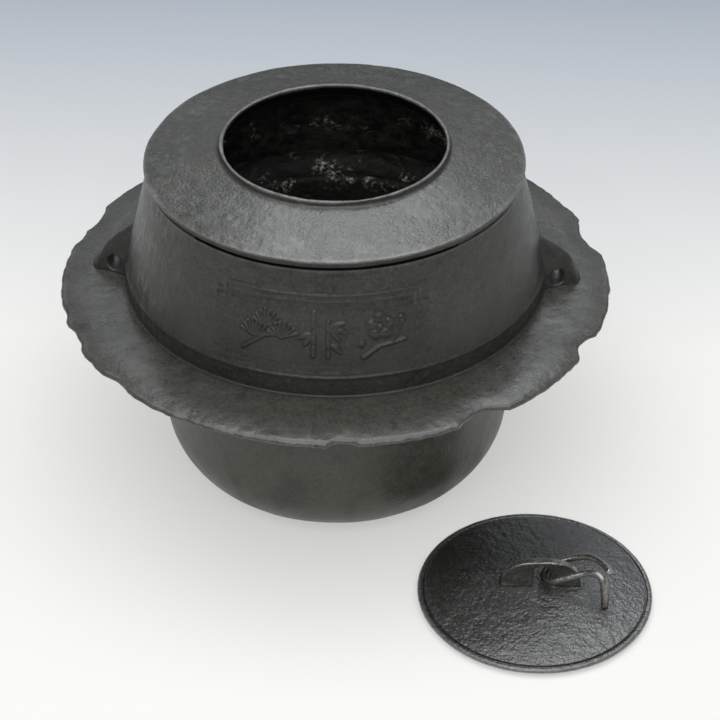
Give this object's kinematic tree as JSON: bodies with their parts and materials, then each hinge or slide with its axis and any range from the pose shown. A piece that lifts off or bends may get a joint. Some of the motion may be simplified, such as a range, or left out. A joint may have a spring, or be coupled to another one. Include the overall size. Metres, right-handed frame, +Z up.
{
  "type": "chagama kettle",
  "caption": "Cast-iron tea kettle with a broad ragged flange, ring lugs, a narrower bowl below and a loose domed lid, laid beside it, with a hinged ring handle in a staple.",
  "frame": {"origin": "centre of the kettle's flat base", "axes": "+Z up along the kettle's axis, out of its mouth; the sunken panel faces -Y and the lugs are on +X and -X"},
  "size_m": [0.3162, 0.3236, 0.1984],
  "materials": {
    "body_iron": "dark cast iron with a fine pitted skin, satin where worn",
    "bowl_iron": "dark cast iron, smooth and a little sooty",
    "lid_iron": "dark cast iron with a coarse hammered grain, satin",
    "forged_iron": "dark forged iron, polished on the edges by handling",
    "plate_iron": "scaled iron",
    "lacquer_putty": "hardened iron-and-lacquer putty, dull"
  },
  "bodies": {
    "kettle": {"upper_body": "body_iron", "bottom_bowl": "bowl_iron", "seam_putty": "lacquer_putty", "lug_left": "body_iron", "lug_right": "body_iron", "singing_plates": "plate_iron"},
    "lid": {"lid_plate": "lid_iron", "lid_staple": "forged_iron"},
    "ring": {"lid_ring": "forged_iron"}
  },
  "joints": [
    {"name": "lid_lift", "type": "slide", "parent": "kettle", "child": "lid", "axis": [0, 0, 1], "range_m": [0, 0.06]},
    {"name": "ring_swing", "type": "hinge", "parent": "lid", "child": "ring", "pos_m": [0.11452, -0.1181, 0.0129], "axis": [-0.0698, -0.9976, 0], "range_deg": [0, 130]}
  ]
}
